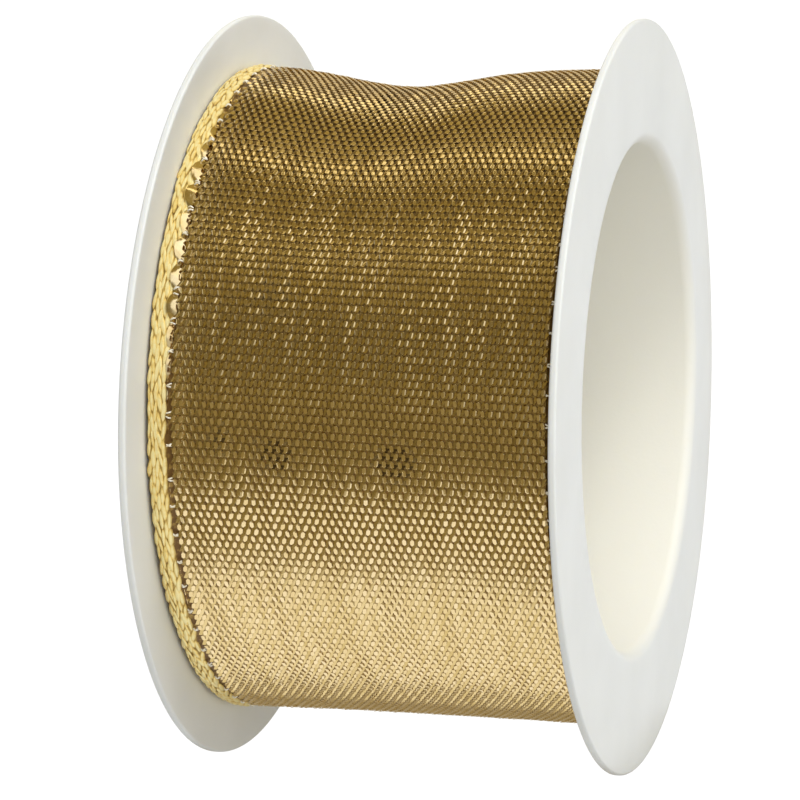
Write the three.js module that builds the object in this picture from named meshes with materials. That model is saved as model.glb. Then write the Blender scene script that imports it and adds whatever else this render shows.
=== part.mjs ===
// Ribbon spool: two thin plastic flanges plugged into a core tube, wound with wire-edged gold ribbon.
// Millimetres, +Z up. The spool's axis lies along X and the spool stands on its rims, so the origin
// is on the ground under its middle.

import * as THREE from 'three';

// Driving dimensions
const FLANGE_RADIUS = 39;
const FLANGE_THICKNESS = 0.8;
const FLANGE_SPACING = 41.8; // between the flanges' inner faces
const BORE_RADIUS = 26.2;
const BORE_FILLET = 1.2; // rolled edge where the outer face turns into the bore
const RIM_CHAMFER = 0.2;
const COLLAR_DEPTH = 14; // how far each flange's collar reaches into the core tube
const COLLAR_WALL = 1;
const CORE_WALL = 1;
const GAP = 0.3; // between pieces that touch
const ROLL_RADIUS = 33.8; // of the outer turn at its edges
const ROLL_SAG = 0.9; // the outer turn lies this much lower in the middle of its width

// The ribbon's edge, from the outside in: hem with a wire in it, foil yarn, then the woven web
// The right hem is pushed up against its flange and stands there on edge, so it takes less of the width.
const LEFT_EDGE = { outside: 20.7, hemWidth: 2.05, foilWidth: 0.45, rollDown: 0 };
const RIGHT_EDGE = { outside: 20.85, hemWidth: 0.75, foilWidth: 0.3, rollDown: 0.5 };
const HEM_CROWN = 0.15; // the hem is a little thicker than the web
const YARN_GAP = 0.1;
const WIRE_WIDTH = 0.25;
const WIRE_ROOM = 0.1; // around the wire in its channel
const HEM_SKIN = 0.5; // cloth above and below the wire's channel

// Adhesive tapes, which hold the ribbon's two ends
const TAPE_THICKNESS = 0.15;
const START_TAPE = { width: 24, degrees: 36, middle: 0 };
const END_TAPE = { width: 16, degrees: 34, middle: -10 };

// Worked out from those
const SEGMENTS = 72; // an even number, so that each rim has a flat to stand on
const STEP = (2 * Math.PI) / SEGMENTS;
const CURVE_STEPS = 3;
const TAPE_SEGMENTS = 5;
const INNER_FACE = FLANGE_SPACING / 2;
const OUTER_FACE = INNER_FACE + FLANGE_THICKNESS;
const AXIS_HEIGHT = FLANGE_RADIUS * Math.cos(STEP / 2);
const COLLAR_RADIUS = BORE_RADIUS + COLLAR_WALL;
const CORE_INNER = COLLAR_RADIUS + GAP;
const CORE_OUTER = CORE_INNER + CORE_WALL;
const ROLL_INNER = CORE_OUTER + GAP + TAPE_THICKNESS;

const PLASTIC = { color: 0xe9e9e2, roughness: 0.42, metalness: 0 };
const CORE_PLASTIC = { color: 0xe2ded2, roughness: 0.6, metalness: 0 };
const GOLD_CLOTH = { color: 0xb08a3e, roughness: 0.38, metalness: 0.85 };
const HEM_YARN = { color: 0xdcb964, roughness: 0.45, metalness: 0.7 };
const FOIL = { color: 0xe8c878, roughness: 0.15, metalness: 1 };
const WIRE = { color: 0xa8a8a4, roughness: 0.35, metalness: 1 };
const CLEAR_TAPE = { color: 0xe6e2d2, roughness: 0.2, metalness: 0 };

const spool = new THREE.Group();
spool.position.z = AXIS_HEIGHT;

function add(name, geometry, finish) {
  const mesh = new THREE.Mesh(geometry, new THREE.MeshStandardMaterial(finish));
  mesh.name = name;
  spool.add(mesh);
}

// A ring round the spool's axis. The section is a Shape of (radius, place along X), and the first
// corner of the ring is half a step off the bottom, which leaves a flat side there.
function revolve(section) {
  const outline = section.getPoints(CURVE_STEPS);
  if (THREE.ShapeUtils.isClockWise(outline)) outline.reverse();
  outline.push(outline[0]);
  return new THREE.LatheGeometry(outline, SEGMENTS, STEP / 2).rotateZ(-Math.PI / 2);
}

function box(inner, outer, left, right) {
  const section = new THREE.Shape();
  section.moveTo(inner, left);
  section.lineTo(outer, left);
  section.lineTo(outer, right);
  section.lineTo(inner, right);
  section.closePath();
  return section;
}

function mirrored(section) {
  const points = section.getPoints(CURVE_STEPS).map((p) => new THREE.Vector2(p.x, -p.y));
  return new THREE.Shape(points);
}

// The thin disc, and the collar that its bore turns into.
function flangeSection() {
  const rim = FLANGE_RADIUS - RIM_CHAMFER;
  const section = new THREE.Shape();
  section.moveTo(BORE_RADIUS + BORE_FILLET, OUTER_FACE);
  section.lineTo(rim, OUTER_FACE);
  section.lineTo(FLANGE_RADIUS, OUTER_FACE - RIM_CHAMFER);
  section.lineTo(FLANGE_RADIUS, INNER_FACE + RIM_CHAMFER);
  section.lineTo(rim, INNER_FACE);
  section.lineTo(COLLAR_RADIUS, INNER_FACE);
  section.lineTo(COLLAR_RADIUS, OUTER_FACE - COLLAR_DEPTH);
  section.lineTo(BORE_RADIUS, OUTER_FACE - COLLAR_DEPTH);
  section.lineTo(BORE_RADIUS, OUTER_FACE - BORE_FILLET);
  const centre = BORE_RADIUS + BORE_FILLET;
  section.absarc(centre, OUTER_FACE - BORE_FILLET, BORE_FILLET, Math.PI, Math.PI / 2, true);
  return section;
}

// Where the pieces of one edge meet, as distances from the spool's middle.
const hemInside = (edge) => edge.outside - edge.hemWidth;
const foilOutside = (edge) => hemInside(edge) - YARN_GAP;
const foilInside = (edge) => foilOutside(edge) - edge.foilWidth;
const webEnd = (edge) => foilInside(edge) - YARN_GAP;
const wireMiddle = (edge) => edge.outside - edge.hemWidth / 2;

// The wound web: level at its edges, with a shallow waist between them.
function webSection() {
  const left = -webEnd(LEFT_EDGE);
  const right = webEnd(RIGHT_EDGE);
  const section = new THREE.Shape();
  section.moveTo(ROLL_INNER, left);
  section.lineTo(ROLL_RADIUS, left);
  section.quadraticCurveTo(ROLL_RADIUS - 2 * ROLL_SAG, (left + right) / 2, ROLL_RADIUS, right);
  section.lineTo(ROLL_INNER, right);
  section.closePath();
  return section;
}

// The wound hem: a crowned ring whose channel, open to the flange, holds the wire.
function hemSection(edge) {
  const inside = hemInside(edge);
  const top = ROLL_RADIUS - edge.rollDown;
  const channelEnd = wireMiddle(edge) - WIRE_WIDTH / 2 - WIRE_ROOM;
  const section = new THREE.Shape();
  section.moveTo(ROLL_INNER, inside);
  section.lineTo(ROLL_RADIUS, inside);
  section.lineTo(top + HEM_CROWN, wireMiddle(edge));
  section.lineTo(top, edge.outside);
  section.lineTo(top - HEM_SKIN, edge.outside);
  section.lineTo(top - HEM_SKIN, channelEnd);
  section.lineTo(ROLL_INNER + HEM_SKIN, channelEnd);
  section.lineTo(ROLL_INNER + HEM_SKIN, edge.outside);
  section.lineTo(ROLL_INNER, edge.outside);
  section.closePath();
  return section;
}

function wireSection(edge) {
  const inner = ROLL_INNER + HEM_SKIN + WIRE_ROOM;
  const outer = ROLL_RADIUS - edge.rollDown - HEM_SKIN - WIRE_ROOM;
  return box(inner, outer, wireMiddle(edge) - WIRE_WIDTH / 2, wireMiddle(edge) + WIRE_WIDTH / 2);
}

function foilSection(edge) {
  return box(ROLL_INNER, ROLL_RADIUS - YARN_GAP, foilInside(edge), foilOutside(edge));
}

// A patch of tape that follows a turn of the roll. Its middle is an angle from the back, +Y, towards the top.
function tape(radius, { width, degrees, middle }) {
  const first = THREE.MathUtils.degToRad(middle - degrees / 2);
  const last = THREE.MathUtils.degToRad(middle + degrees / 2);
  const outline = new THREE.Shape();
  outline.absarc(0, 0, radius + TAPE_THICKNESS, first, last, false);
  outline.absarc(0, 0, radius, last, first, true);
  outline.closePath();
  const settings = { depth: width, bevelEnabled: false, curveSegments: TAPE_SEGMENTS };
  const patch = new THREE.ExtrudeGeometry(outline, settings);
  return patch.translate(0, 0, -width / 2).rotateX(Math.PI / 2).rotateZ(Math.PI / 2);
}

const coreSection = box(CORE_INNER, CORE_OUTER, GAP - INNER_FACE, INNER_FACE - GAP);

for (const [side, edge, turn] of [['right', RIGHT_EDGE, (s) => s], ['left', LEFT_EDGE, mirrored]]) {
  add(`${side}_flange`, revolve(turn(flangeSection())), PLASTIC);
  add(`${side}_hem`, revolve(turn(hemSection(edge))), HEM_YARN);
  add(`${side}_edge_wire`, revolve(turn(wireSection(edge))), WIRE);
  add(`${side}_foil_yarn`, revolve(turn(foilSection(edge))), FOIL);
}
add('core_tube', revolve(coreSection), CORE_PLASTIC);
add('ribbon_web', revolve(webSection()), GOLD_CLOTH);
add('start_tape', tape(CORE_OUTER + GAP / 2, START_TAPE), CLEAR_TAPE);
add('end_tape', tape(ROLL_RADIUS + YARN_GAP, END_TAPE), CLEAR_TAPE);

export default spool;
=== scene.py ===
import math

import bpy
import numpy as np
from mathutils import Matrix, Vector


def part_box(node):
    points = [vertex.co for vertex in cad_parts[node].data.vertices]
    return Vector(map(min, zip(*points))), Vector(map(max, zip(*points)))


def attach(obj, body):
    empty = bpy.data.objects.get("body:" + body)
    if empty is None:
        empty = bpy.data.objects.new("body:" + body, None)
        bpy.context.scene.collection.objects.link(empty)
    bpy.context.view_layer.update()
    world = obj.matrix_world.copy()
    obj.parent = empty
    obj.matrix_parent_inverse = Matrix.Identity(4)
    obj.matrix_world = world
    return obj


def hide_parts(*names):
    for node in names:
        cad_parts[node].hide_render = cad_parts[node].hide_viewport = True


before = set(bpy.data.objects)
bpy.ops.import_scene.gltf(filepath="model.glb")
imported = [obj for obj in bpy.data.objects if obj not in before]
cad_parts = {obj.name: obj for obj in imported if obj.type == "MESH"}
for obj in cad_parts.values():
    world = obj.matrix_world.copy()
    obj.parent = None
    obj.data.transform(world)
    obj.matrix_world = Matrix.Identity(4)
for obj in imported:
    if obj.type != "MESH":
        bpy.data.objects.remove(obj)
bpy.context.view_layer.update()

# A gold wire-edged ribbon wound on a white plastic spool with two thin flanges and a wide bore.
# Metres, +X along the spool's axis, +Z up. An angle round the axis is 0 at the top and grows
# towards the front, which is -Y.

MM = 0.001
SEED = 7

# Spool, from the frame
flange_low, flange_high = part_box("right_flange")
core_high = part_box("core_tube")[1]
web_low, web_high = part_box("ribbon_web")
AXIS_Z = (flange_low.z + flange_high.z) / 2
RIM_RADIUS = flange_high.z - AXIS_Z
OUTER_FACE = flange_high.x
COLLAR_END = flange_low.x
CORE_RADIUS = core_high.z - AXIS_Z
CORE_HALF = core_high.x
WEB_LEFT, WEB_RIGHT = web_low.x, web_high.x

# Spool, the sizes that no box gives
FLANGE_THICKNESS = 0.8 * MM
BORE_RADIUS = 26.2 * MM
BORE_FILLET = 1.2 * MM
COLLAR_WALL = 1.0 * MM
CORE_WALL = 1.0 * MM
RIM_ROUND = 0.28 * MM

# Ribbon, wound
TURNS = 12.5
OUTERMOST = 2 * math.pi * TURNS
FIRST_RADIUS = CORE_RADIUS + 0.45 * MM
LAST_RADIUS = 33.95 * MM
PITCH = (LAST_RADIUS - FIRST_RADIUS) / TURNS
END_ANGLE = math.radians(-100)
TOP_SAG = 2.1 * MM
TOP_SAG_REACH = math.radians(48)
SAG_MIDDLE = -3.5 * MM
SAG_HALF_WIDTH = 9.5 * MM
WAIST = 0.15 * MM
RIPPLE = 0.035 * MM
PUCKER = 0.02 * MM
PUCKER_REACH = 2.5 * MM  # from the hems

# Its weave
WARP_PITCH = 0.395 * MM
WEFT_PITCH = 0.8 * MM
FLOAT_WIDTH = 0.37 * MM
FLOAT_LENGTH = 0.66 * MM
FLOAT_SHEAR = 0.16
FLOAT_CORNERS = (0.5, 0.84)  # how far out a float's corners lie, across and along, as shares
FLOAT_QUADS = 9
WEFT_SHEAR = -0.45
WEFT_QUADS = 4
SKEW = 0.028
UNDER = -0.31 * MM
# Painted shade: the dark tone of the lower turns, seen between the floats
UNDER_SHADE_TONE = 0.12
FOIL_TONE = 0.25  # the darkest tone that shines fully
LEANING_SHARE = 0.62  # of the warp threads, which lean far to the right in places
FAR_LEAN = (0.37, 0.25)  # in radians, at the left edge and at the right

# Painted dark reflections: soft dark spots painted into the cloth's tone. Middle along X and half
# width in mm, angle from the top and half height in degrees, and how dark
DARK_REFLECTION_SPOTS = [
    (4.7, 2.3, 94.5, 3.8, 1.4),
    (-7.3, 2.2, 94.5, 3.5, 1.3),
    (-13, 1.8, 92, 3.0, 1.0),
    (-8.5, 3.5, 67, 4.0, 0.9),
]

# Its edges. The right hem rolls down against its flange, so it is narrower as wound than as cut.
LINK_LENGTH = 1.87 * MM
LINK_DOME = 0.12 * MM
STITCH_PITCH = 3.1 * MM
STITCH_RADIUS = 0.085 * MM
HEM_POINTS = 9  # across the hem
HEM_SETTLE = 0.35 * MM  # how far its edges lie below the ribbon's middle
CHANNEL_DEPTH = 0.5 * MM
ROLL_DOWN = {"left": 0.15 * MM, "right": 0.9 * MM}
LINK_COLUMNS = {"left": 5, "right": 2}
FLANGE_ROOM = {"left": 0.12 * MM, "right": 0.22 * MM}  # the flanges lean in over the hems
WIRE_DEPTH = 0.2 * MM
WIRE_THICKNESS = 0.24 * MM
FLASH_MIDDLE = math.radians(55)  # where the left foil yarn bulges out, from the top
FLASH_REACH = math.radians(24)

# Camera and studio
CAMERA_DISTANCE = 423.2 * MM
CAMERA_AZIMUTH = math.radians(15.37)  # right of the front
CAMERA_ELEVATION = math.radians(7.08)
CAMERA_LENS = 181.94
CAMERA_SHIFT = (-0.0501, -0.0118)
SEEN_TABLE_LIGHT = 0.98
TABLE_GLOW = 0.4
WORLD_LIGHT = 0.45
KEY_WATTS = 5.8
FILL_WATTS = 2.0
REAR_WATTS = 4.0
OLIVE = (1.0, 0.82, 0.40)
GOLDEN = (1.0, 0.78, 0.28)
PALE_GOLD = (1.0, 0.9, 0.62)
TAN = (1.0, 0.86, 0.6)


class Edge:
    """One edge of the ribbon: where its hem, foil line and wire lie along the axis."""

    def __init__(self, name):
        hem_box = [abs(corner.x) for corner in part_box(f"{name}_hem")]
        foil_box = [abs(corner.x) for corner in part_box(f"{name}_foil_yarn")]
        wire_box = [abs(corner.x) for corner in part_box(f"{name}_edge_wire")]
        self.name = name
        self.side = 1 if name == "right" else -1
        self.inside, self.outside = min(hem_box), max(hem_box) - FLANGE_ROOM[name]
        self.foil_inside, self.foil_outside = min(foil_box), max(foil_box)
        self.wire = sum(wire_box) / 2 - FLANGE_ROOM[name] / 2
        self.web = WEB_RIGHT if name == "right" else -WEB_LEFT
        self.roll_down = ROLL_DOWN[name]

    def drop(self, x, t=OUTERMOST):
        """How far the hem has rolled down at a distance from the spool's middle. It lies flat on
        the core and rolls down more with each turn."""
        across = np.clip((x - self.inside) / (self.outside - self.inside), 0, 1)
        return self.roll_down * across ** 2 * np.clip(t / (OUTERMOST - 2 * math.pi), 0, 1)


EDGES = [Edge("left"), Edge("right")]


def rng(offset):
    return np.random.default_rng(SEED + offset)


# ---------------------------------------------------------------- meshes


def mesh_object(name, points, faces, smooth=True):
    mesh = bpy.data.meshes.new(name)
    mesh.from_pydata(points, [], faces)
    mesh.update()
    mesh.polygons.foreach_set("use_smooth", np.full(len(mesh.polygons), smooth))
    piece = bpy.data.objects.new(name, mesh)
    bpy.context.scene.collection.objects.link(piece)
    return piece


def grid_faces(rows, columns, close_rows=False, close_columns=False, first=0):
    """Quads of a grid of points, numbered row by row."""
    i = np.arange(rows if close_rows else rows - 1)
    j = np.arange(columns if close_columns else columns - 1)
    i, j = np.meshgrid(i, j, indexing="ij")
    i2, j2 = (i + 1) % rows, (j + 1) % columns
    quads = np.stack([i * columns + j, i * columns + j2, i2 * columns + j2, i2 * columns + j], -1)
    return quads.reshape(-1, 4) + first


def around(x, radius, angle):
    """Points at a place along the axis, a radius and an angle, as arrays of one shape."""
    x, radius, angle = np.broadcast_arrays(x, radius, angle)
    return np.stack([x, -radius * np.sin(angle), AXIS_Z + radius * np.cos(angle)], -1)


def arc(centre, radius, first, last, steps):
    turn = np.linspace(math.radians(first), math.radians(last), steps)
    return [(centre[0] + radius * math.cos(t), centre[1] + radius * math.sin(t)) for t in turn]


def finish_piece(piece, material, slot, *nodes):
    piece.data.materials.append(material)
    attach(piece, "root")
    if nodes:
        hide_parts(*nodes)
    return piece


def tube(path, radius, sides=6):
    """Points and quads of a tube along a path of points."""
    path = np.asarray(path)
    ahead = np.gradient(path, axis=0)
    ahead /= np.linalg.norm(ahead, axis=1, keepdims=True)
    up = np.cross(ahead, [1.0, 0.03, 0.02])
    up /= np.linalg.norm(up, axis=1, keepdims=True)
    side = np.cross(ahead, up)
    turn = np.linspace(0, 2 * math.pi, sides, endpoint=False)
    ring = up[:, None] * np.cos(turn)[None, :, None] + side[:, None] * np.sin(turn)[None, :, None]
    points = path[:, None] + ring * radius
    return points.reshape(-1, 3), grid_faces(len(path), sides, close_columns=True)


def joined(parts):
    """Several (points, faces) as one."""
    points = np.concatenate([part[0] for part in parts])
    starts = np.cumsum([0] + [len(part[0]) for part in parts[:-1]])
    faces = np.concatenate([part[1] + start for part, start in zip(parts, starts)])
    return points, faces


def paint(piece, name, values, domain):
    layer = piece.data.attributes.new(name, "FLOAT", domain)
    layer.data.foreach_set("value", np.asarray(values, dtype=np.float32))


# ---------------------------------------------------------------- materials


class Nodes:
    """A short way to build a node tree."""

    def __init__(self, name):
        self.material = bpy.data.materials.new(name)
        self.material.use_nodes = True
        self.tree = self.material.node_tree
        self.shader = self.tree.nodes["Principled BSDF"]

    def add(self, kind, inputs=(), **settings):
        node = self.tree.nodes.new("ShaderNode" + kind)
        for key, value in settings.items():
            setattr(node, key, value)
        for key, value in dict(inputs).items():
            self.put(node.inputs[key], value)
        return node

    def put(self, socket, value):
        if isinstance(value, bpy.types.NodeSocket):
            self.tree.links.new(value, socket)
        else:
            socket.default_value = value

    def set(self, **values):
        for key, value in values.items():
            self.put(self.shader.inputs[key.replace("_", " ")], value)

    def math(self, operation, a, b=0.0):
        return self.add("Math", {0: a, 1: b}, operation=operation).outputs[0]

    def noise(self, scale, detail=3.0, where=None):
        inputs = {"Scale": scale, "Detail": detail}
        if where is not None:
            inputs["Vector"] = where
        return self.add("TexNoise", inputs).outputs["Fac"]

    def place(self):
        return self.add("TexCoord").outputs["Object"]

    def ramp(self, value, stops):
        node = self.add("ValToRGB", {"Fac": value})
        ramp = node.color_ramp
        while len(ramp.elements) < len(stops):
            ramp.elements.new(0.5)
        for element, (position, colour) in zip(ramp.elements, stops):
            element.position = position
            element.color = (*colour, 1)
        return node.outputs["Color"]

    def two_tones(self, value, dark, light):
        return self.ramp(value, [(0.3, dark), (0.7, light)])

    def range(self, value, low, high):
        return self.add("MapRange", {"Value": value, "To Min": low, "To Max": high}).outputs[0]

    def bump(self, height, distance, strength=1.0):
        inputs = {"Height": height, "Distance": distance, "Strength": strength}
        return self.add("Bump", inputs).outputs["Normal"]


def plastic(name, pale, deep, cream, roughness, glow):
    """Milky injection-moulded plastic: cloudy colour, creamier in the thick collar, faint ripples
    and a satin skin."""
    n = Nodes(name)
    where = n.place()
    clouds = n.noise(90.0, 4.0, where)
    peel = n.noise(2600.0, 2.0, where)
    place = n.add("SeparateXYZ", {0: where}).outputs
    height = n.math("SUBTRACT", place["Z"], AXIS_Z)
    squares = n.math("ADD", n.math("POWER", height, 2.0), n.math("POWER", place["Y"], 2.0))
    radius = n.math("SQRT", squares)
    bore_edge = {"From Min": BORE_RADIUS, "From Max": BORE_RADIUS + BORE_FILLET}
    in_disc = n.add("MapRange", {"Value": radius, **bore_edge}).outputs[0]
    disc = n.two_tones(clouds, deep, pale)
    colour = n.add("MixRGB", {"Fac": in_disc, "Color1": (*cream, 1), "Color2": disc})
    n.set(Base_Color=colour.outputs[0])
    n.set(Roughness=n.range(n.noise(420.0, 5.0, where), roughness - 0.06, roughness + 0.08))
    n.set(Normal=n.bump(peel, 0.02 * MM, 0.5))
    n.set(Subsurface_Weight=glow, Subsurface_Scale=1.5 * MM, IOR=1.49)
    n.set(Subsurface_Radius=(1.0, 0.85, 0.6))
    return n.material


def gold_foil_cloth():
    """Bright gold foil warp over a duller weft; the lower turns between them are painted shade in
    bronze.
    The warp attribute says which one a face shows, and the tone attribute how light it is, painted
    shade and painted dark reflections included. The darkest tones lose part of their shine."""
    n = Nodes("gold_foil_cloth")
    is_warp = n.add("Attribute", attribute_name="warp").outputs["Fac"]
    tone_and_shade = n.add("Attribute", attribute_name="tone_and_shade").outputs["Fac"]
    warp = n.ramp(tone_and_shade, [(0.0, (0.76, 0.57, 0.26)), (1.0, (0.90, 0.72, 0.42))])
    # Painted darkness: bronze is the painted shade of the lower turns, brown the darkest painted
    # dark reflection.
    brown, bronze = (0.08, 0.045, 0.01), (0.48, 0.34, 0.13)
    gold, pale = (0.66, 0.49, 0.20), (0.82, 0.64, 0.32)
    weft = n.ramp(tone_and_shade, [(0.0, brown), (UNDER_SHADE_TONE, bronze), (FOIL_TONE, gold), (1.0, pale)])
    colour = n.add("MixRGB", {"Fac": is_warp, "Color1": weft, "Color2": warp})
    shine = n.add("MapRange", {"Value": tone_and_shade, "From Max": FOIL_TONE, "To Min": 0.5}).outputs[0]
    n.set(Base_Color=colour.outputs[0], Metallic=shine)
    worn = n.noise(1800.0, 4.0, n.place())
    n.set(Roughness=n.math("ADD", n.range(is_warp, 0.26, 0.17), n.range(worn, -0.03, 0.05)))
    scratches = n.noise(3000.0, 3.0, n.place())
    n.set(Normal=n.bump(scratches, 0.006 * MM, 0.4))
    return n.material


def gold_yarn():
    """Spun metallic yarn, its depth attribute painted light and shade: a painted highlight where it
    stands up and painted shade, brown, in its gaps.
    """
    n = Nodes("gold_yarn")
    where = n.place()
    # Painted shade to painted highlight by depth, with random speckle on top.
    depth = n.add("Attribute", attribute_name="depth").outputs["Fac"]
    speckle = n.math("MULTIPLY", n.math("SUBTRACT", n.noise(1700.0, 3.0, where), 0.5), 1.1)
    brown, ochre = (0.18, 0.09, 0.018), (0.62, 0.40, 0.09)
    yellow, pale = (0.94, 0.70, 0.22), (1.0, 0.86, 0.42)
    stops = [(0.0, brown), (0.3, ochre), (0.62, yellow), (1.0, pale)]
    n.set(Base_Color=n.ramp(n.math("ADD", depth, speckle), stops), Metallic=0.35)
    n.set(Roughness=n.range(n.noise(1500.0, 2.0, where), 0.28, 0.5))
    n.set(Normal=n.bump(n.noise(5000.0, 3.0, where), 0.04 * MM, 0.6))
    return n.material


def gold_mirror():
    n = Nodes("gold_mirror")
    where = n.place()
    clouds = n.noise(700.0, 2.0, where)
    n.set(Base_Color=n.two_tones(clouds, (0.84, 0.62, 0.27), (0.98, 0.82, 0.5)))
    n.set(Metallic=1.0, Roughness=n.range(n.noise(2200.0, 2.0, where), 0.06, 0.2))
    n.set(Normal=n.bump(n.noise(900.0, 2.0, where), 0.05 * MM, 0.6))
    return n.material


def cream_thread():
    n = Nodes("cream_thread")
    where = n.place()
    clouds = n.noise(4000.0, 2.0, where)
    n.set(Base_Color=n.two_tones(clouds, (0.92, 0.82, 0.58), (1.0, 0.96, 0.84)))
    n.set(Metallic=0.1, Roughness=n.range(n.noise(2500.0, 2.0, where), 0.25, 0.45))
    n.set(Normal=n.bump(n.noise(9000.0, 2.0, where), 0.03 * MM, 0.6))
    return n.material


def soft_wire():
    n = Nodes("soft_wire")
    where = n.place()
    clouds = n.noise(1500.0, 3.0, where)
    n.set(Base_Color=n.two_tones(clouds, (0.42, 0.42, 0.41), (0.6, 0.6, 0.58)))
    n.set(Metallic=1.0, Roughness=n.range(n.noise(3000.0, 2.0, where), 0.3, 0.45))
    return n.material


def clear_tape():
    n = Nodes("clear_tape")
    where = n.place()
    haze = n.noise(300.0, 4.0, where)
    n.set(Base_Color=n.two_tones(haze, (0.86, 0.84, 0.74), (0.95, 0.94, 0.88)))
    n.set(Roughness=n.range(haze, 0.08, 0.2), Alpha=0.16, IOR=1.47)
    n.set(Normal=n.bump(n.noise(260.0, 2.0, where), 0.05 * MM, 0.5))
    return n.material


# ---------------------------------------------------------------- spool


def flange_outline():
    """The flange's section as (place along X, radius), for the right flange."""
    inner = OUTER_FACE - FLANGE_THICKNESS
    fillet = (OUTER_FACE - BORE_FILLET, BORE_RADIUS + BORE_FILLET)
    rim_out = (OUTER_FACE - RIM_ROUND, RIM_RADIUS - RIM_ROUND)
    rim_in = (inner + RIM_ROUND, RIM_RADIUS - RIM_ROUND)
    collar = BORE_RADIUS + COLLAR_WALL
    lip = 0.25 * MM
    root = 0.4 * MM
    face_start = BORE_RADIUS + 2.4 * MM
    face_end = RIM_RADIUS - 1.0 * MM
    outline = [(COLLAR_END + lip, BORE_RADIUS)]
    outline += arc(fillet, BORE_FILLET, -90, 0, 9)
    outline += [(OUTER_FACE, radius) for radius in np.linspace(face_start, face_end, 8)]
    outline += arc(rim_out, RIM_ROUND, 0, 90, 6)
    outline += arc(rim_in, RIM_ROUND, 90, 180, 6)
    outline += [(inner, radius) for radius in np.linspace(face_end, collar + 0.6 * MM, 8)]
    outline += arc((inner - root, collar + root), root, 0, -90, 5)
    outline += [(COLLAR_END + lip, collar), (COLLAR_END, collar - lip)]
    outline += [(COLLAR_END, BORE_RADIUS + lip)]
    return np.array(outline)


def flange(side, bend, phase, lean):
    """One flange, its thin disc a little warped, and leaning by lean = (per mm back, per mm up)."""
    outline = flange_outline()
    segments = 288
    angle = np.linspace(0, 2 * math.pi, segments, endpoint=False)[:, None]
    x, radius = outline[None, :, 0], outline[None, :, 1]
    stiff = BORE_RADIUS + 2 * MM
    reach = np.clip((radius - stiff) / (RIM_RADIUS - stiff), 0, 1) ** 2
    wave = np.sin(2 * angle + phase) + 0.35 * np.sin(3 * angle + 2 * phase)
    wave = wave + 0.2 * np.sin(5 * angle)
    x = x - bend * reach * (1.55 - wave) / 2
    x = side * x + reach * radius * (lean[1] * np.cos(angle) - lean[0] * np.sin(angle))
    points = around(x, radius, angle)
    rows, columns = points.shape[:2]
    faces = grid_faces(rows, columns, True, True)
    if side < 0:
        faces = faces[:, ::-1]
    name = "right" if side > 0 else "left"
    return mesh_object(f"{name}_flange_disc", points.reshape(-1, 3), faces)


def core():
    inner = CORE_RADIUS - CORE_WALL
    lip = 0.15 * MM
    outline = np.array([
        (-CORE_HALF, inner + lip), (-CORE_HALF + lip, inner),
        (CORE_HALF - lip, inner), (CORE_HALF, inner + lip),
        (CORE_HALF, CORE_RADIUS - lip), (CORE_HALF - lip, CORE_RADIUS),
        (-CORE_HALF + lip, CORE_RADIUS), (-CORE_HALF, CORE_RADIUS - lip),
    ])
    angle = np.linspace(0, 2 * math.pi, 192, endpoint=False)[:, None]
    points = around(outline[None, :, 0], outline[None, :, 1], angle)
    faces = grid_faces(*points.shape[:2], True, True)
    return mesh_object("core_sleeve", points.reshape(-1, 3), faces, smooth=False)


# ---------------------------------------------------------------- ribbon


def turn_radius(t):
    """The radius of the ribbon at t radians from its start on the core, before it sags."""
    return FIRST_RADIUS + PITCH * t / (2 * math.pi)


def turn_angle(t, x=0.0):
    """The angle that the ribbon has reached. The weft runs a little askew, so x shifts it."""
    return END_ANGLE - (OUTERMOST - t) + SKEW * x / LAST_RADIUS


def waves(a, b, offset, longest=14 * MM, shortest=4 * MM, count=9):
    """A smooth random surface over two lengths, about 1 at its highest."""
    r = rng(offset)
    total = 0
    for _ in range(count):
        length = r.uniform(shortest, longest)
        turn = r.uniform(0, 2 * math.pi)
        phase = r.uniform(0, 2 * math.pi)
        distance = a * math.cos(turn) + b * math.sin(turn)
        total = total + np.sin(distance * 2 * math.pi / length + phase)
    return total / math.sqrt(count) / 1.5


def surface_radius(x, t):
    """Where the middle of the ribbon's thickness lies: wound tight at its edges and slack between
    them, with the deepest sag on top, and puckered beside the hems."""
    angle = turn_angle(t)
    along = angle * LAST_RADIUS
    from_top = np.abs((angle + math.pi) % (2 * math.pi) - math.pi)
    top_sag = TOP_SAG * np.exp(-(from_top / TOP_SAG_REACH) ** 2)
    across = np.exp(-((x - SAG_MIDDLE) / SAG_HALF_WIDTH) ** 2) - 0.06
    waist = WAIST * (1 - (x / WEB_RIGHT) ** 2)
    slack = np.clip(t / OUTERMOST, 0, 1)
    ripple = RIPPLE * waves(x, along, 3)
    from_hem = np.minimum(x - WEB_LEFT, WEB_RIGHT - x)
    near_hem = np.exp(-np.abs(from_hem) / PUCKER_REACH)
    pucker = PUCKER * waves(x, along, 4, 3.2 * MM, 1.4 * MM) * near_hem
    return turn_radius(t) - slack * (top_sag * across + waist) + (ripple + pucker) * slack


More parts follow.
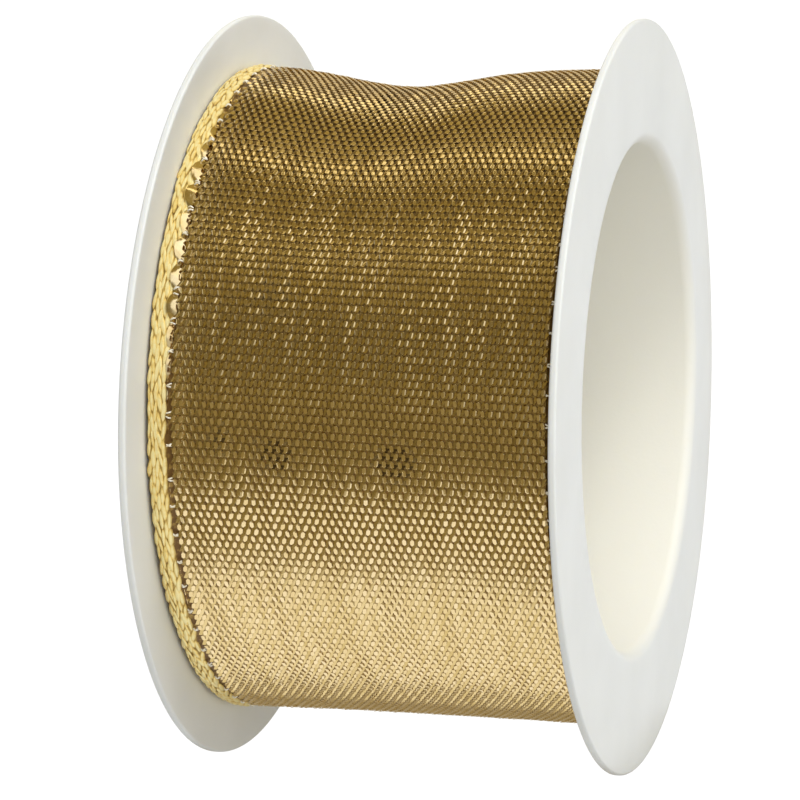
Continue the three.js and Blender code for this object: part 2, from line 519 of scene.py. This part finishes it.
def patches(u, v, lines_u, lines_v, heights, inset, shear, roll, pitch):
    """Small raised patches of the outer turn, one at each (u, v), as points and quads. The patch is
    a grid of lines along and across the ribbon with the given heights. Inset pulls its corners in,
    shear leans it sideways, and roll and pitch tilt it."""
    rows, columns = heights.shape
    a, b = np.meshgrid(lines_u, lines_v)
    corner = (np.abs(a) == np.abs(a).max()) & (np.abs(b) == np.abs(b).max())
    a, b = np.where(corner, a * inset[0], a), np.where(corner, b * inset[1], b)
    u, v, shear, roll, pitch = (value.reshape(-1, 1, 1) for value in (u, v, shear, roll, pitch))
    uu, vv = u + a + shear * b, v + b
    height = heights - roll * (a + shear * b) + pitch * b
    t = OUTERMOST - 2 * math.pi + vv / LAST_RADIUS
    sideways = 0.03 * MM * waves(uu, vv, 5, shortest=2 * MM)
    points = around(uu + sideways, surface_radius(uu, t) + height, turn_angle(t, uu))
    one = grid_faces(rows, columns)
    faces = one[None] + np.arange(u.size)[:, None, None] * rows * columns
    return points.reshape(-1, 3), faces.reshape(-1, 4)


def thread_roll(rows, warps, r):
    """How far each warp float leans to the right: a flat thread twists slowly along its length, and
    many have stretches where they lean far, and further towards the left, so that they glint over
    the whole width."""
    row = np.arange(rows)[:, None]
    roll = r.normal(0, 0.025, (1, warps)) + r.normal(0, 0.018, (rows, warps))
    for _ in range(3):
        length = r.uniform(10, 45, (1, warps))
        size = 0.035 * np.abs(r.normal(size=(1, warps)))
        roll += size * np.sin(2 * math.pi * row / length + r.uniform(0, 2 * math.pi, (1, warps)))
    leaning = r.uniform(size=(1, warps)) < LEANING_SHARE
    length = r.uniform(10, 40, (1, warps))
    turn = np.sin(2 * math.pi * row / length + r.uniform(0, 2 * math.pi, (1, warps)))
    return roll + leaning * np.linspace(*FAR_LEAN, warps) * np.clip(1.0 + turn, 0, 1)


def painted_reflection_darkness(u, v):
    # How much the painted dark reflections darken the cloth at each place.
    angle = np.degrees(v / LAST_RADIUS + END_ANGLE)
    total = 0
    for x, half_width, middle, half_height, depth in DARK_REFLECTION_SPOTS:
        away = ((u / MM - x) / half_width) ** 2 + ((angle - middle) / half_height) ** 2
        total = total + depth * np.exp(-away / 1.5)
    return np.clip(total, 0, 1)


def woven_turn():
    """The outer turn, float by float: points, quads, and for each quad how much it shows of the
    warp and how light it is, with the painted dark reflections in it."""
    r = rng(1)
    warps = round((WEB_RIGHT - WEB_LEFT) / WARP_PITCH)
    rows = round(2 * math.pi * LAST_RADIUS / WEFT_PITCH)
    row, warp = np.meshgrid(np.arange(rows), np.arange(warps), indexing="ij")
    u = WEB_LEFT + (warp + 0.5) / warps * (WEB_RIGHT - WEB_LEFT)
    v = (row + 0.5) * WEFT_PITCH
    over = (row + warp) % 2 == 0
    roll = thread_roll(rows, warps, r)
    pitch = r.normal(0, 0.012, (rows, warps))
    of_thread = 0.17 * r.normal(size=(1, warps))
    of_patch = 0.17 * r.normal(size=(rows, warps))
    tone_and_shade = np.clip(0.6 + of_thread + of_patch, FOIL_TONE, 1)

    upper_end = [0.040, 0.047, 0.047, 0.034]
    belly = [0.036, 0.06, 0.06, 0.024]
    lower_end = [0.050, 0.058, 0.058, 0.044]
    warp_heights = np.array([upper_end, belly, belly, lower_end]) * MM
    across = np.array([-1, -0.5, 0.35, 1]) * FLOAT_WIDTH / 2
    along = np.array([-1, -0.66, 0.66, 1]) * FLOAT_LENGTH / 2
    floats = patches(u[over], v[over], across, along, warp_heights, FLOAT_CORNERS,
                     FLOAT_SHEAR - roll[over], roll[over], pitch[over])

    # The weft thread leans back between the floats, so it mirrors what lies higher than they do,
    # and it leaves a slanted hole beside it.
    across = np.array([-0.54, -0.1, 0.37]) * WARP_PITCH
    along = np.array([-0.46, 0, 0.46]) * WEFT_PITCH
    upper_line = [-0.28, -0.27, -0.28]
    middle_line = [-0.135, -0.125, -0.135]
    lower_line = [0.0, 0.01, 0.0]
    weft_heights = np.array([upper_line, middle_line, lower_line]) * MM
    wefts = patches(u[~over], v[~over], across, along, weft_heights, (1, 1),
                    WEFT_SHEAR + 0 * u[~over], 0.1 * roll[~over], 0 * u[~over])
    points = np.concatenate([floats[0], wefts[0]])
    faces = np.concatenate([floats[1], wefts[1] + len(floats[0])])
    shows = np.repeat([1.0, 0.0], [over.sum() * FLOAT_QUADS, (~over).sum() * WEFT_QUADS])
    # A spot of painted dark reflection darkens the floats a little and half of each weft patch a
    # lot.
    dark = painted_reflection_darkness(u, v)
    float_tone_and_shade = np.clip(tone_and_shade - 0.4 * dark, FOIL_TONE, 1)[over]
    weft_tone_and_shade = tone_and_shade[~over][:, None] * (1 - dark[~over][:, None] * [0.3, 0.3, 1, 1])
    light = np.concatenate([np.repeat(float_tone_and_shade, FLOAT_QUADS), weft_tone_and_shade.reshape(-1)])
    return points, faces, shows, light


def under_turns(edges_x, t_last, height=0.0, step_degrees=5.0):
    """Every turn up to t_last as a coarse sheet through the given places along X."""
    t = np.linspace(0, t_last, int(math.degrees(t_last) / step_degrees) + 1)
    xx, tt = np.meshgrid(edges_x, t)
    points = around(xx, surface_radius(xx, tt) + height, turn_angle(tt))
    return points.reshape(-1, 3), grid_faces(*points.shape[:2])


def ribbon_web():
    points, faces, shows, light = woven_turn()
    under = under_turns(np.linspace(WEB_LEFT, WEB_RIGHT, 13), OUTERMOST, UNDER)
    more = len(under[1])
    points, faces = joined([(points, faces), under])
    piece = mesh_object("ribbon_web_cloth", points, faces, smooth=False)
    paint(piece, "warp", np.concatenate([shows, np.zeros(more)]), "FACE")
    # The lower turns are painted with a shade tone.
    paint(piece, "tone_and_shade", np.concatenate([light, np.full(more, UNDER_SHADE_TONE)]), "FACE")
    return piece


def hem_ground(edge, first, last, step_degrees, lift):
    """The hem's closed edge without its stitches, and the floor of the channel beside it."""
    steps = int(math.degrees(last - first) / step_degrees)
    t = np.linspace(first, last, steps + 1)[:, None]
    arch = np.linspace(0, 1, HEM_POINTS)[None, :]
    x = edge.inside + arch * (edge.outside - edge.inside)
    height = lift * np.sqrt(1 - (2 * arch - 1) ** 2) - HEM_SETTLE - edge.drop(x, t)
    x = np.concatenate([[[edge.web - 0.05 * MM]], x], axis=1)
    height = np.concatenate([np.full((len(t), 1), -CHANNEL_DEPTH), height], axis=1)
    base = surface_radius(edge.side * x, t * np.ones_like(x))
    points = around(edge.side * x, base + height, turn_angle(t))
    return points.reshape(-1, 3), grid_faces(*points.shape[:2])


def ground_painted_shade(points, on_hem):
    """The depth attribute of a hem_ground, as painted shade: darkest, brown, on the channel's
    floor, and darker under the links than their tops.
    """
    columns = HEM_POINTS + 1
    depth = np.full((len(points) // columns, columns), on_hem)
    depth[:, :2] = 0
    return depth.reshape(-1)


def hem_links(edge):
    """The stitches that wrap the hem: staggered columns of leaf-shaped links leaning both ways."""
    r = rng(11 + edge.side)
    columns = LINK_COLUMNS[edge.name]
    rows = int(2 * math.pi * LAST_RADIUS / LINK_LENGTH)
    width = (edge.outside - edge.inside) / columns
    row, column = np.meshgrid(np.arange(rows), np.arange(columns))
    row, column = row.reshape(-1, 1, 1), column.reshape(-1, 1, 1)
    count = row.size
    jitter = r.normal(0, 1, (6, count, 1, 1))
    lean = np.where(column % 2 == 0, 1, -1) * 0.09 + 0.07 * jitter[0]
    steps_along, steps_across = 9, 5
    along = np.linspace(-1, 1, steps_along)[None, :, None]
    across = np.linspace(-1, 1, steps_across)[None, None, :]
    taper = (1 - 0.94 * np.abs(along) ** 2.2) ** 0.8
    half_length = LINK_LENGTH * 0.6
    bulge = (0.62 + 0.09 * jitter[1]) * width
    v = (row + 0.5 + 0.5 * (column % 2) + 0.06 * jitter[2]) * LINK_LENGTH + along * half_length
    x = edge.inside + (column + 0.5) * width + across * taper * bulge + lean * along * half_length
    x = x + 0.03 * MM * jitter[3]
    s = np.clip((x - edge.inside) / (edge.outside - edge.inside), 0, 1)
    crown = 0.34 * MM * np.sqrt(np.clip(1 - (2 * s - 1) ** 2, 0.02, 1))
    dome = LINK_DOME * np.sqrt(np.clip(1 - across ** 2, 0, 1)) * taper
    dive = 0.10 * MM * along ** 4
    height = crown + dome - dive - 0.28 * MM + 0.02 * MM * jitter[4] - edge.drop(x)
    t = OUTERMOST - 2 * math.pi + v / LAST_RADIUS
    base = surface_radius(edge.side * x, np.minimum(t, OUTERMOST))
    points = around(edge.side * x, base + height, turn_angle(t))
    one = grid_faces(steps_along, steps_across)
    faces = one[None] + np.arange(count)[:, None, None] * steps_along * steps_across
    # The depth attribute is painted light and shade: lighter on a link's raised middle, darker at
    # its sides and diving ends, and varied at random.
    depth = 0.66 + 0.4 * (dome - dive) / LINK_DOME - 0.25 * across ** 2 + 0.11 * jitter[5]
    return points.reshape(-1, 3), faces.reshape(-1, 4), np.clip(depth, 0, 1).reshape(-1)


def hem(edge):
    links, link_faces, depth = hem_links(edge)
    outer = hem_ground(edge, OUTERMOST - 2 * math.pi, OUTERMOST, 2.0, 0.32 * MM)
    inner = hem_ground(edge, 0, OUTERMOST - 2 * math.pi, 5.0, 0.3 * MM)
    points, faces = joined([(links, link_faces), outer, inner])
    piece = mesh_object(f"{edge.name}_hem_braid", points, faces)
    # The hem's ground under the links, and the channel floor, get painted shade.
    grounds = [ground_painted_shade(outer[0], 0.36), ground_painted_shade(inner[0], 0.5)]
    paint(piece, "depth", np.concatenate([depth] + grounds), "POINT")
    return piece


def foil_line(edge):
    """The flat foil yarn deep in the channel between hem and web. On the left, above the front, it
    bulges out of the channel between its stitches, over the hem, and catches the light."""
    r = rng(21 + edge.side)
    steps = int(2 * math.pi * LAST_RADIUS / STITCH_PITCH * 12)
    t = np.linspace(OUTERMOST - 2 * math.pi, OUTERMOST, steps + 1)[:, None]
    s = np.linspace(0, 1, 9)[None, :]
    along = (t - t[0]) * LAST_RADIUS
    stitch = np.floor(along / STITCH_PITCH).astype(int)
    puff = np.abs(np.sin(math.pi * along / STITCH_PITCH)) ** 0.8
    from_middle = turn_angle(t) + 2 * math.pi - FLASH_MIDDLE
    varied = r.uniform(0.75, 1.1, stitch.max() + 1)[stitch]
    slack = np.exp(-(from_middle / FLASH_REACH) ** 4) * varied
    if edge.side > 0:
        slack = 0 * slack
    twist = r.normal(-1.0, 0.14, stitch.max() + 1)[stitch] * (0.6 + 0.4 * puff) * (1 - 0.12 * slack)
    width = edge.foil_outside - edge.foil_inside + 0.5 * MM * slack * puff
    x = edge.foil_inside + s * width
    arch = 0.03 * MM * puff * np.sin(math.pi * s)
    height = (0.75 * slack * (0.3 + 0.7 * puff) - 0.6) * MM + arch - twist * (s - 0.5) * width
    base = surface_radius(edge.side * x, t * np.ones_like(s))
    points = around(edge.side * x, base + height, turn_angle(t))
    faces = grid_faces(*points.shape[:2])
    return mesh_object(f"{edge.name}_foil_line", points.reshape(-1, 3), faces)


def stitches(edge):
    """The cream threads that cross the foil line, one crooked pair at each stitch."""
    r = rng(31 + edge.side)
    channel = edge.foil_outside - edge.foil_inside
    parts = []
    for index in range(int(2 * math.pi * LAST_RADIUS / STITCH_PITCH)):
        for lean in (0.3, -0.2):
            s = np.linspace(-0.05, 1.05, 7)
            x = edge.foil_inside + s * channel
            middle = (index + 0.06 * r.normal()) * STITCH_PITCH
            v = middle + (s - 0.5) * lean * channel * r.uniform(0.7, 1.6)
            t = OUTERMOST - 2 * math.pi + v / LAST_RADIUS
            height = -0.12 * MM + 0.2 * MM * np.sin(math.pi * np.clip(s, 0, 1))
            base = surface_radius(edge.side * x, t)
            path = around(edge.side * x, base + height, turn_angle(t))
            parts.append(tube(path, STITCH_RADIUS))
    return mesh_object(f"{edge.name}_hem_stitches", *joined(parts))


def wire(edge):
    t = np.linspace(0, OUTERMOST, int(72 * TURNS))
    x = edge.side * edge.wire
    base = surface_radius(np.full_like(t, x), t) - edge.drop(edge.wire, t)
    points, faces = tube(around(x, base - WIRE_DEPTH, turn_angle(t)), WIRE_THICKNESS / 2)
    return mesh_object(f"{edge.name}_hem_wire", points, faces)


def tape(name, radius_at, middle, degrees, width, lift):
    half = math.radians(degrees / 2)
    angle = np.linspace(middle - half, middle + half, 25)[:, None]
    x = np.linspace(-width / 2, width / 2, 13)[None, :]
    top = around(x, radius_at(x, angle) + lift, angle)
    piece = mesh_object(name, top.reshape(-1, 3), grid_faces(*top.shape[:2]))
    thick = piece.modifiers.new("film", "SOLIDIFY")
    thick.thickness = 0.06 * MM
    thick.offset = 1
    return piece


def over_roll(x, angle):
    """The radius of the outer turn at an angle."""
    t = OUTERMOST + (angle - END_ANGLE)
    t = np.where(t > OUTERMOST, t - 2 * math.pi, t)
    return surface_radius(x * np.ones_like(angle), t * np.ones_like(x))


def over_core(x, angle):
    return CORE_RADIUS * np.ones_like(x * angle)


# ---------------------------------------------------------------- scene


def camera():
    """A long lens a little to the right of the front and a little above."""
    data = bpy.data.cameras.new("camera")
    data.sensor_width = 36
    data.lens = CAMERA_LENS
    eye = bpy.data.objects.new("camera", data)
    bpy.context.scene.collection.objects.link(eye)
    level = math.cos(CAMERA_ELEVATION)
    rightward = math.sin(CAMERA_AZIMUTH) * level
    forward = -math.cos(CAMERA_AZIMUTH) * level
    back = Vector((rightward, forward, math.sin(CAMERA_ELEVATION)))
    centre = Vector((0, 0, AXIS_Z))
    data.shift_x, data.shift_y = CAMERA_SHIFT
    eye.location = centre + back * CAMERA_DISTANCE
    eye.rotation_euler = (-back).to_track_quat("-Z", "Y").to_euler()
    data.clip_start, data.clip_end = 0.01, 200
    bpy.context.scene.camera = eye


def table(name, light, seen):
    """One sheet of a wide light table: either the one that is seen or the one that lights."""
    n = Nodes(name)
    n.set(Base_Color=(0.2, 0.2, 0.2, 1), Roughness=0.7, Specular_IOR_Level=0.1)
    n.set(Emission_Color=(1, 1, 1, 1), Emission_Strength=light)
    half = 60.0
    corners = [(-half, -half, 0), (half, -half, 0), (half, half, 0), (-half, half, 0)]
    piece = mesh_object(name, corners, [(0, 1, 2, 3)])
    piece.location.z = -0.02 * MM
    piece.data.materials.append(n.material)
    piece.visible_camera = piece.visible_glossy = piece.visible_transmission = seen
    piece.visible_diffuse = not seen


def lamp(name, place, aim, size, watts):
    data = bpy.data.lights.new(name, "AREA")
    data.shape = "RECTANGLE"
    data.size, data.size_y = size
    data.energy = watts
    light = bpy.data.objects.new(name, data)
    light.location = place
    light.rotation_euler = (Vector(aim) - Vector(place)).to_track_quat("-Z", "Y").to_euler()
    bpy.context.scene.collection.objects.link(light)
    return light


def only_reflected(piece, strength, tint):
    """Makes a stage piece glow, and show only in reflections."""
    n = Nodes(piece.name)
    n.set(Base_Color=(0, 0, 0, 1), Roughness=1.0, Specular_IOR_Level=0.0)
    n.set(Emission_Color=(*tint, 1), Emission_Strength=strength)
    piece.data.materials.append(n.material)
    piece.visible_camera = False
    piece.visible_diffuse = False
    piece.visible_shadow = False
    piece.visible_transmission = False


def card(name, radius, angles, along, strength, tint=(1, 1, 1)):
    """A curved card round the spool, in millimetres and degrees from the front upwards."""
    steps = 2 + int((angles[1] - angles[0]) / 6)
    turn = np.radians(np.linspace(angles[0], angles[1], steps))[:, None]
    points = around(np.array(along)[None, :] * MM, radius * MM, math.pi / 2 - turn)
    piece = mesh_object(name, points.reshape(-1, 3), grid_faces(steps, 2), smooth=False)
    only_reflected(piece, strength, tint)


def studio():
    """Three soft lamps, and cards that only reflections see: a dim warm room round the gold, with a
    few narrow lights in it."""
    world = bpy.data.worlds.new("studio")
    bpy.context.scene.world = world
    world.use_nodes = True
    world.node_tree.nodes["Background"].inputs["Color"].default_value = (WORLD_LIGHT,) * 3 + (1,)
    middle = (0, 0, AXIS_Z)
    for light in (
        lamp("key", (0.5, -0.3, 0.84), middle, (0.6, 0.6), KEY_WATTS),
        lamp("fill", (0.42, -0.72, 0.24), middle, (0.5, 0.5), FILL_WATTS),
        lamp("rear", (-0.6, 0.6, 0.4), middle, (0.6, 0.6), REAR_WATTS),
    ):
        light.visible_glossy = False
    card("room_front_low", 94, (-22, 8), (-600, 400), 0.31, OLIVE)
    card("room_front_right", 94, (-38, -22), (12, 400), 0.31, OLIVE)
    card("room_front_left", 94, (-38, -22), (-600, -46), 0.31, OLIVE)
    card("room_front_dark", 114, (5, 34), (-90, 62), 0.20, OLIVE)
    card("room_front_high", 114, (34, 83), (-90, 62), 0.28, GOLDEN)
    card("light_above", 114, (83, 88), (-90, 62), 1.7, PALE_GOLD)
    card("room_above", 114, (88, 121), (-90, 62), 0.40, GOLDEN)
    card("light_behind", 114, (121, 127), (-90, 62), 1.9, PALE_GOLD)
    card("room_behind", 114, (127, 205), (-90, 22), 0.7, TAN)
    card("light_right_low", 90, (-5, 20), (52, 400), 0.6)
    card("light_right", 114, (20, 45), (62, 500), 1.0)
    card("light_right_high", 114, (45, 98), (62, 500), 1.25)
    outline = [(-25, -13.5), (25, -13.5), (25, 30), (-25, 30)]
    corners = [(x * MM, y * MM, 0.1 * MM) for x, y in outline]
    only_reflected(mesh_object("shade_under", corners, [(0, 1, 2, 3)]), 0.4, TAN)


camera()
table("floor", SEEN_TABLE_LIGHT, True)
table("floor_glow", TABLE_GLOW, False)
studio()
bpy.context.scene.view_settings.view_transform = "Standard"

white = plastic(
    "milky_plastic", pale=(0.84, 0.85, 0.81), deep=(0.79, 0.80, 0.76), cream=(0.86, 0.84, 0.75),
    roughness=0.4, glow=0.15,
)
dull = plastic(
    "core_plastic", pale=(0.80, 0.78, 0.71), deep=(0.72, 0.70, 0.63), cream=(0.80, 0.77, 0.68),
    roughness=0.6, glow=0.1,
)
cloth = gold_foil_cloth()
yarn = gold_yarn()
mirror = gold_mirror()
thread = cream_thread()
steel = soft_wire()
film = clear_tape()

finish_piece(flange(1, 0.2 * MM, 0.6, (-0.012, 0.001)), white, "flange_plastic", "right_flange")
finish_piece(flange(-1, 0.15 * MM, 2.1, (0.005, 0.017)), white, "flange_plastic", "left_flange")
finish_piece(core(), dull, "core_plastic", "core_tube")
web = finish_piece(ribbon_web(), cloth, "gold_web", "ribbon_web")
for edge in EDGES:
    finish_piece(hem(edge), yarn, "gold_hem", f"{edge.name}_hem")
    finish_piece(foil_line(edge), mirror, "gold_foil", f"{edge.name}_foil_yarn")
    finish_piece(stitches(edge), thread, "gold_hem")
    finish_piece(wire(edge), steel, "edge_wire", f"{edge.name}_edge_wire")

start_strip = tape("start_tape_strip", over_core, turn_angle(0), 36, 24 * MM, 0.1 * MM)
finish_piece(start_strip, film, "clear_tape", "start_tape")
end_strip = tape("end_tape_strip", over_roll, END_ANGLE, 34, 16 * MM, 0.38 * MM)
finish_piece(end_strip, film, "clear_tape", "end_tape")
